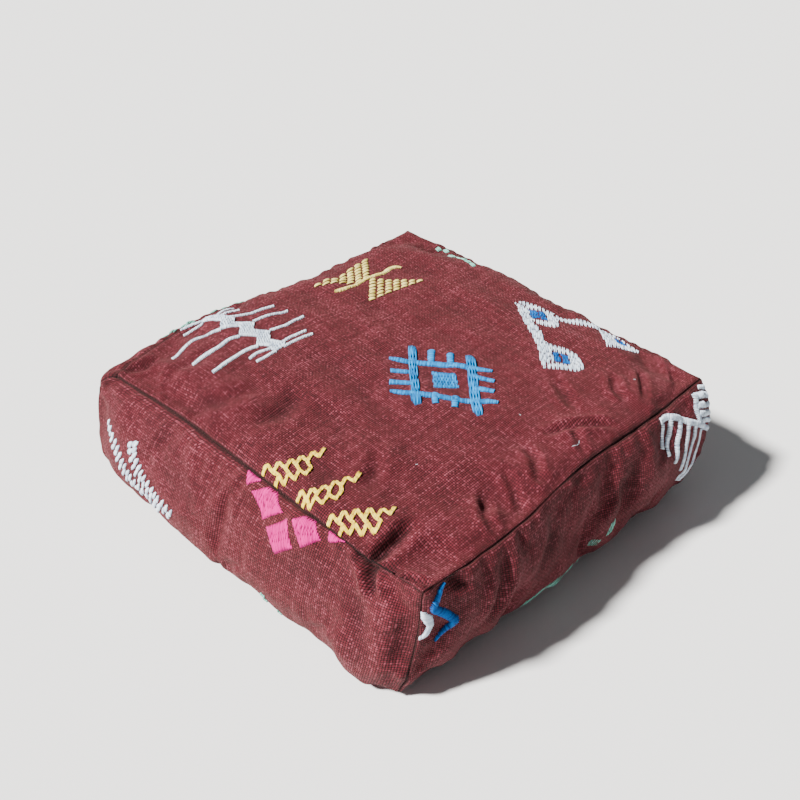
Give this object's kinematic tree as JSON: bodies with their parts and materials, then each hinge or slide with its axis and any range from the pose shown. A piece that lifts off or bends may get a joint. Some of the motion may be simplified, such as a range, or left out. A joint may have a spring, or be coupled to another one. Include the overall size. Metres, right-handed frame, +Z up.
{
  "type": "floor cushion",
  "caption": "Square woven floor cushion with raised thread motifs, boxed sides and a zip across the back, filled with loose fibre.",
  "frame": {"origin": "middle of the underside, on the surface that the cushion stands on", "axes": "+Z up through the cushion; the front faces -Y, the right side +X, and the zip runs along X on the back, which faces +Y"},
  "size_m": [0.652, 0.6537, 0.2187],
  "materials": {
    "cover_cloth": "matte",
    "thread_white": "matte",
    "thread_sky_blue": "matte",
    "thread_deep_blue": "matte",
    "thread_yellow": "matte",
    "thread_cream": "matte",
    "thread_pink": "matte",
    "thread_mint": "matte",
    "zip_tape": "matte",
    "zip_coil": "satin",
    "zip_metal": "satin",
    "bag_cotton": "matte",
    "fibre_filling": "matte"
  },
  "bodies": {
    "cushion": {"back_panel_lower": "cover_cloth", "back_panel_upper": "cover_cloth", "blue_band_square_1": "thread_deep_blue", "blue_band_square_2": "thread_deep_blue", "blue_band_square_3": "thread_deep_blue", "blue_fence": "thread_sky_blue", "blue_fence_square": "thread_sky_blue", "blue_zigzag": "thread_deep_blue", "bottom_panel": "cover_cloth", "cream_butterfly": "thread_cream", "fibre_filling": "fibre_filling", "front_panel": "cover_cloth", "inner_bag": "bag_cotton", "left_panel": "cover_cloth", "mint_leaf_back": "thread_mint", "mint_leaf_corner": "thread_mint", "mint_leaf_front": "thread_mint", "mint_leaf_left": "thread_mint", "mint_steps_low": "thread_mint", "mint_steps_right": "thread_mint", "pink_block_1": "thread_pink", "pink_block_2": "thread_pink", "pink_block_3": "thread_pink", "pink_block_4": "thread_pink", "pink_block_5": "thread_pink", "right_panel": "cover_cloth", "top_panel": "cover_cloth", "white_chevron": "thread_white", "white_diamond_band": "thread_white", "white_many_legs": "thread_white", "white_striped_fans": "thread_white", "white_zigzag_inner": "thread_white", "white_zigzag_outer": "thread_white", "yellow_comb_1": "thread_yellow", "yellow_comb_2": "thread_yellow", "yellow_comb_3": "thread_yellow", "zip_bottom_stop": "zip_metal", "zip_coil_lower": "zip_coil", "zip_coil_upper": "zip_coil", "zip_tape_lower": "zip_tape", "zip_tape_upper": "zip_tape", "zip_top_stop_lower": "zip_metal", "zip_top_stop_upper": "zip_metal"},
    "slider": {"zip_slider": "zip_metal"},
    "pull": {"zip_pull": "zip_metal"}
  },
  "joints": [
    {"name": "zip_slide", "type": "slide", "parent": "cushion", "child": "slider", "axis": [1, 0, 0], "range_m": [0, 0.395]},
    {"name": "zip_pull_hinge", "type": "hinge", "parent": "slider", "child": "pull", "pos_m": [-0.201, 0.3169, 0.1035], "axis": [0, 0, 1], "range_deg": [0, 170]}
  ]
}
